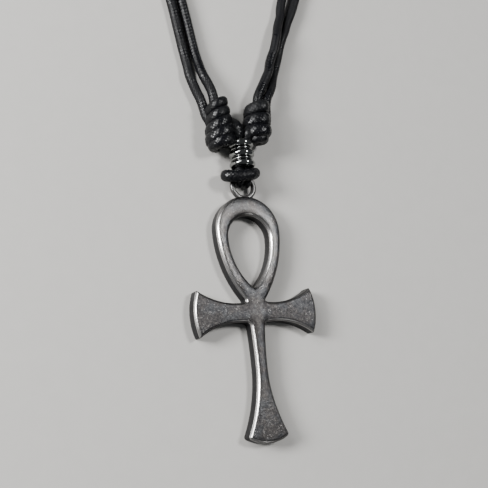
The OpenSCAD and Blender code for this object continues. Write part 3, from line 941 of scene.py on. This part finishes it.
def waxed_cord():
    if "braided_wax" in bpy.data.materials:
        return bpy.data.materials["braided_wax"]
    finish = bpy.context.scene.finishes
    material, net, shader = new_material("braided_wax")
    place = net.add("ShaderNodeTexCoord").outputs["Object"]
    uv = net.add("ShaderNodeUVMap", uv_map="UVMap").outputs[0]
    braid = net.add("ShaderNodeGroup", node_tree=braid_group())
    net.put(uv, braid.inputs[0])
    wax = speckled(net, place, 1500.0, 0.40, 0.62)
    # Painted highlight: the crowns of the braid are made lighter in colour
    light = net.math("MULTIPLY", braid.outputs[1], net.span(wax[0], 0.0, 1.0, 0.3, 1.0))
    base = net.mix(light, colour([c * 0.4 for c in finish.cord]), colour([c * 1.8 for c in finish.cord]))
    net.put(base, shader.inputs["Base Color"])
    worn = net.span(wax[1], 0.42, 0.58, 0.24, 0.0)
    net.put(net.math("ADD", net.span(wax[0], 0.0, 1.0, 0.38, 0.18), worn), shader.inputs["Roughness"])
    shader.inputs["Specular IOR Level"].default_value = 0.20
    bump = net.add("ShaderNodeBump", {"Strength": 0.5, "Distance": 0.00005, "Height": braid.outputs[0]})
    net.put(bump.outputs[0], shader.inputs["Normal"])
    return material


def floor_material():
    finish = bpy.context.scene.finishes
    material, net, shader = new_material("pale_floor")
    place = net.add("ShaderNodeTexCoord").outputs["Object"]
    fleck = speckled(net, place, 300.0, 0.3, 0.7)
    base = net.mix(fleck[0], colour(finish.floor), colour([c * 0.96 for c in finish.floor]))
    net.put(base, shader.inputs["Base Color"])
    shader.inputs["Roughness"].default_value = 0.85
    return material


# The photograph's camera: tilt from the face's normal, its heading, roll, distance,
# target and focal length, which takes the image to be 488 by 488
CAMERA_TILT, CAMERA_HEADING, CAMERA_ROLL = 0.49689, 0.44794, 0.10579
CAMERA_DISTANCE = 0.14777
CAMERA_TARGET = (-0.000098, 0.013169, 0)
FOCAL_PIXELS, IMAGE_PIXELS, SENSOR = 791.69, 488, 36
CLIP_START = 0.005
# Each softbox's direction from the pendant, and its distance and size in metres
SOFTBOXES = {
    "side": ((-0.88, 0.21, 0.43), 0.42, 0.14), "top": ((0.43, 0.21, 0.88), 0.60, 0.15),
    "fill": ((-0.75, 0.60, 0.65), 0.60, 0.24), "front": ((0.40, -0.88, 0.30), 0.60, 0.10)}
LIGHT_TARGET = (0, 0.012, 0)
FLOOR_SIZE, FLOOR_CENTRE = 1.6, (0, 0.08, 0)
SURROUND_COLOUR = (0.92, 0.96, 1.0)


class PENDANT_OT_camera(bpy.types.Operator):
    """Sets the camera at the photograph's angle"""
    bl_idname = "pendant.camera"
    bl_label = "Camera"

    def execute(self, context):
        tilt, heading, roll = CAMERA_TILT, CAMERA_HEADING, CAMERA_ROLL
        flat = -math.sin(tilt)
        back = Vector((math.cos(heading) * flat, math.sin(heading) * flat, math.cos(tilt)))
        right = Vector((math.sin(roll), math.cos(roll), 0)).cross(back).normalized()
        up = back.cross(right)
        data = bpy.data.cameras.new("photo_camera")
        data.sensor_fit, data.sensor_width = "HORIZONTAL", SENSOR
        data.lens = SENSOR * FOCAL_PIXELS / IMAGE_PIXELS
        data.clip_start = CLIP_START
        camera = bpy.data.objects.new("photo_camera", data)
        context.scene.collection.objects.link(camera)
        place = Matrix((right, up, back)).transposed().to_4x4()
        place.translation = Vector(CAMERA_TARGET) + back * CAMERA_DISTANCE
        camera.matrix_world = place
        context.scene.camera = camera
        return {"FINISHED"}


class PENDANT_OT_stage(bpy.types.Operator):
    """Sets the plain pale floor and the soft studio light"""
    bl_idname = "pendant.stage"
    bl_label = "Floor and light"

    def execute(self, context):
        settings = context.scene.stage_settings
        deselect()
        bpy.ops.mesh.primitive_plane_add(size=FLOOR_SIZE, location=FLOOR_CENTRE)
        floor = context.object
        floor.name = "floor"
        bpy.ops.object.transform_apply(location=True)
        floor.data.materials.append(floor_material())
        world = bpy.data.worlds.new("studio")
        world.use_nodes = True
        background = world.node_tree.nodes["Background"]
        background.inputs["Color"].default_value = colour(SURROUND_COLOUR)
        background.inputs["Strength"].default_value = settings.surround
        context.scene.world = world
        for name, (direction, distance, size) in SOFTBOXES.items():
            power = getattr(settings, name + "_light")
            self.softbox(context, name + "_softbox", direction, distance, size, power)
        return {"FINISHED"}

    def softbox(self, context, name, direction, distance, size, power):
        data = bpy.data.lights.new(name, "AREA")
        data.shape, data.size, data.energy = "DISK", size, power
        light = bpy.data.objects.new(name, data)
        context.scene.collection.objects.link(light)
        back = Vector(direction).normalized()
        place = back.to_track_quat("Z", "Y").to_matrix().to_4x4()
        place.translation = Vector(LIGHT_TARGET) + back * distance
        light.matrix_world = place


class PENDANT_PT_panel(bpy.types.Panel):
    """Lists the pieces of the pendant"""
    bl_idname = "PENDANT_PT_panel"
    bl_label = "Ankh pendant"
    bl_space_type = "VIEW_3D"
    bl_region_type = "UI"
    bl_category = "Pendant"

    def draw(self, context):
        scene = context.scene
        for label in SETTINGS:
            box = self.layout.box()
            group = getattr(scene, label)
            for key in group.__annotations__:
                box.prop(group, key)
        for kind in OPERATORS:
            self.layout.operator(kind.bl_idname)


SETTINGS = {
    "cord_sizes": CordSizes, "ring_sizes": RingSizes, "ankh_sizes": AnkhSizes,
    "finishes": Finishes, "stage_settings": StageSettings}
OPERATORS = (
    PENDANT_OT_camera, PENDANT_OT_neck_strands, PENDANT_OT_knots, PENDANT_OT_pendant_cord,
    PENDANT_OT_rings, PENDANT_OT_ankh, PENDANT_OT_stage)
CLASSES = (*SETTINGS.values(), *OPERATORS, PENDANT_PT_panel)


def register():
    for kind in CLASSES:
        bpy.utils.register_class(kind)
    for label, kind in SETTINGS.items():
        setattr(bpy.types.Scene, label, PointerProperty(type=kind))


def unregister():
    for label in SETTINGS:
        delattr(bpy.types.Scene, label)
    for kind in reversed(CLASSES):
        bpy.utils.unregister_class(kind)


def main():
    register()
    bpy.ops.pendant.camera()
    bpy.ops.pendant.neck_strands()
    bpy.ops.pendant.knots()
    bpy.ops.pendant.pendant_cord()
    bpy.ops.pendant.rings()
    bpy.ops.pendant.ankh()
    bpy.ops.pendant.stage()


if __name__ == "__main__":
    main()
